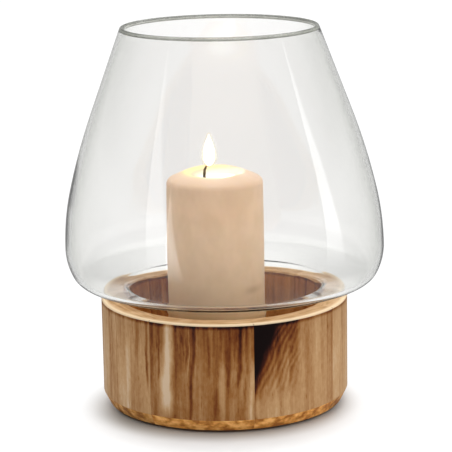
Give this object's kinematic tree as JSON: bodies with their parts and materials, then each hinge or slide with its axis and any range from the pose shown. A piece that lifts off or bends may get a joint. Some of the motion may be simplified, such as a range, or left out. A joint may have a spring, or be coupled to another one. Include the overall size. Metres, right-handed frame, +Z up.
{
  "type": "table hurricane candle holder",
  "caption": "Clear bell-shaped glass hurricane shade with an open mouth, standing in the recess of a round staved wooden base around a pillar candle.",
  "frame": {"origin": "on the table, under the centre of the round base", "axes": "+Z up, along the axis of the base and the glass; -Y towards the front; +X to the right as seen from the front"},
  "size_m": [0.226, 0.226, 0.269],
  "materials": {
    "stave_wood": "clear satin lacquer over upright streaky grain, pale end grain on the rim",
    "board_wood": "sanded board",
    "felt": "dark felt",
    "clear_glass": "clear blown glass, polished",
    "wax": "cream wax, slightly translucent",
    "wick_cotton": "charred cotton"
  },
  "bodies": {
    "base": {"stave_1": "stave_wood", "stave_2": "stave_wood", "stave_3": "stave_wood", "stave_4": "stave_wood", "stave_5": "stave_wood", "stave_6": "stave_wood", "stave_7": "stave_wood", "stave_8": "stave_wood", "floor_disc": "board_wood", "pads": "felt"},
    "shade": {"glass_shade": "clear_glass"},
    "candle": {"candle_body": "wax", "wick": "wick_cotton"}
  },
  "joints": [
    {"name": "shade_lift", "type": "slide", "parent": "base", "child": "shade", "axis": [0, 0, 1], "range_m": [0, 0.15]},
    {"name": "candle_lift", "type": "slide", "parent": "base", "child": "candle", "axis": [0, 0, 1], "range_m": [0, 0.25]}
  ]
}
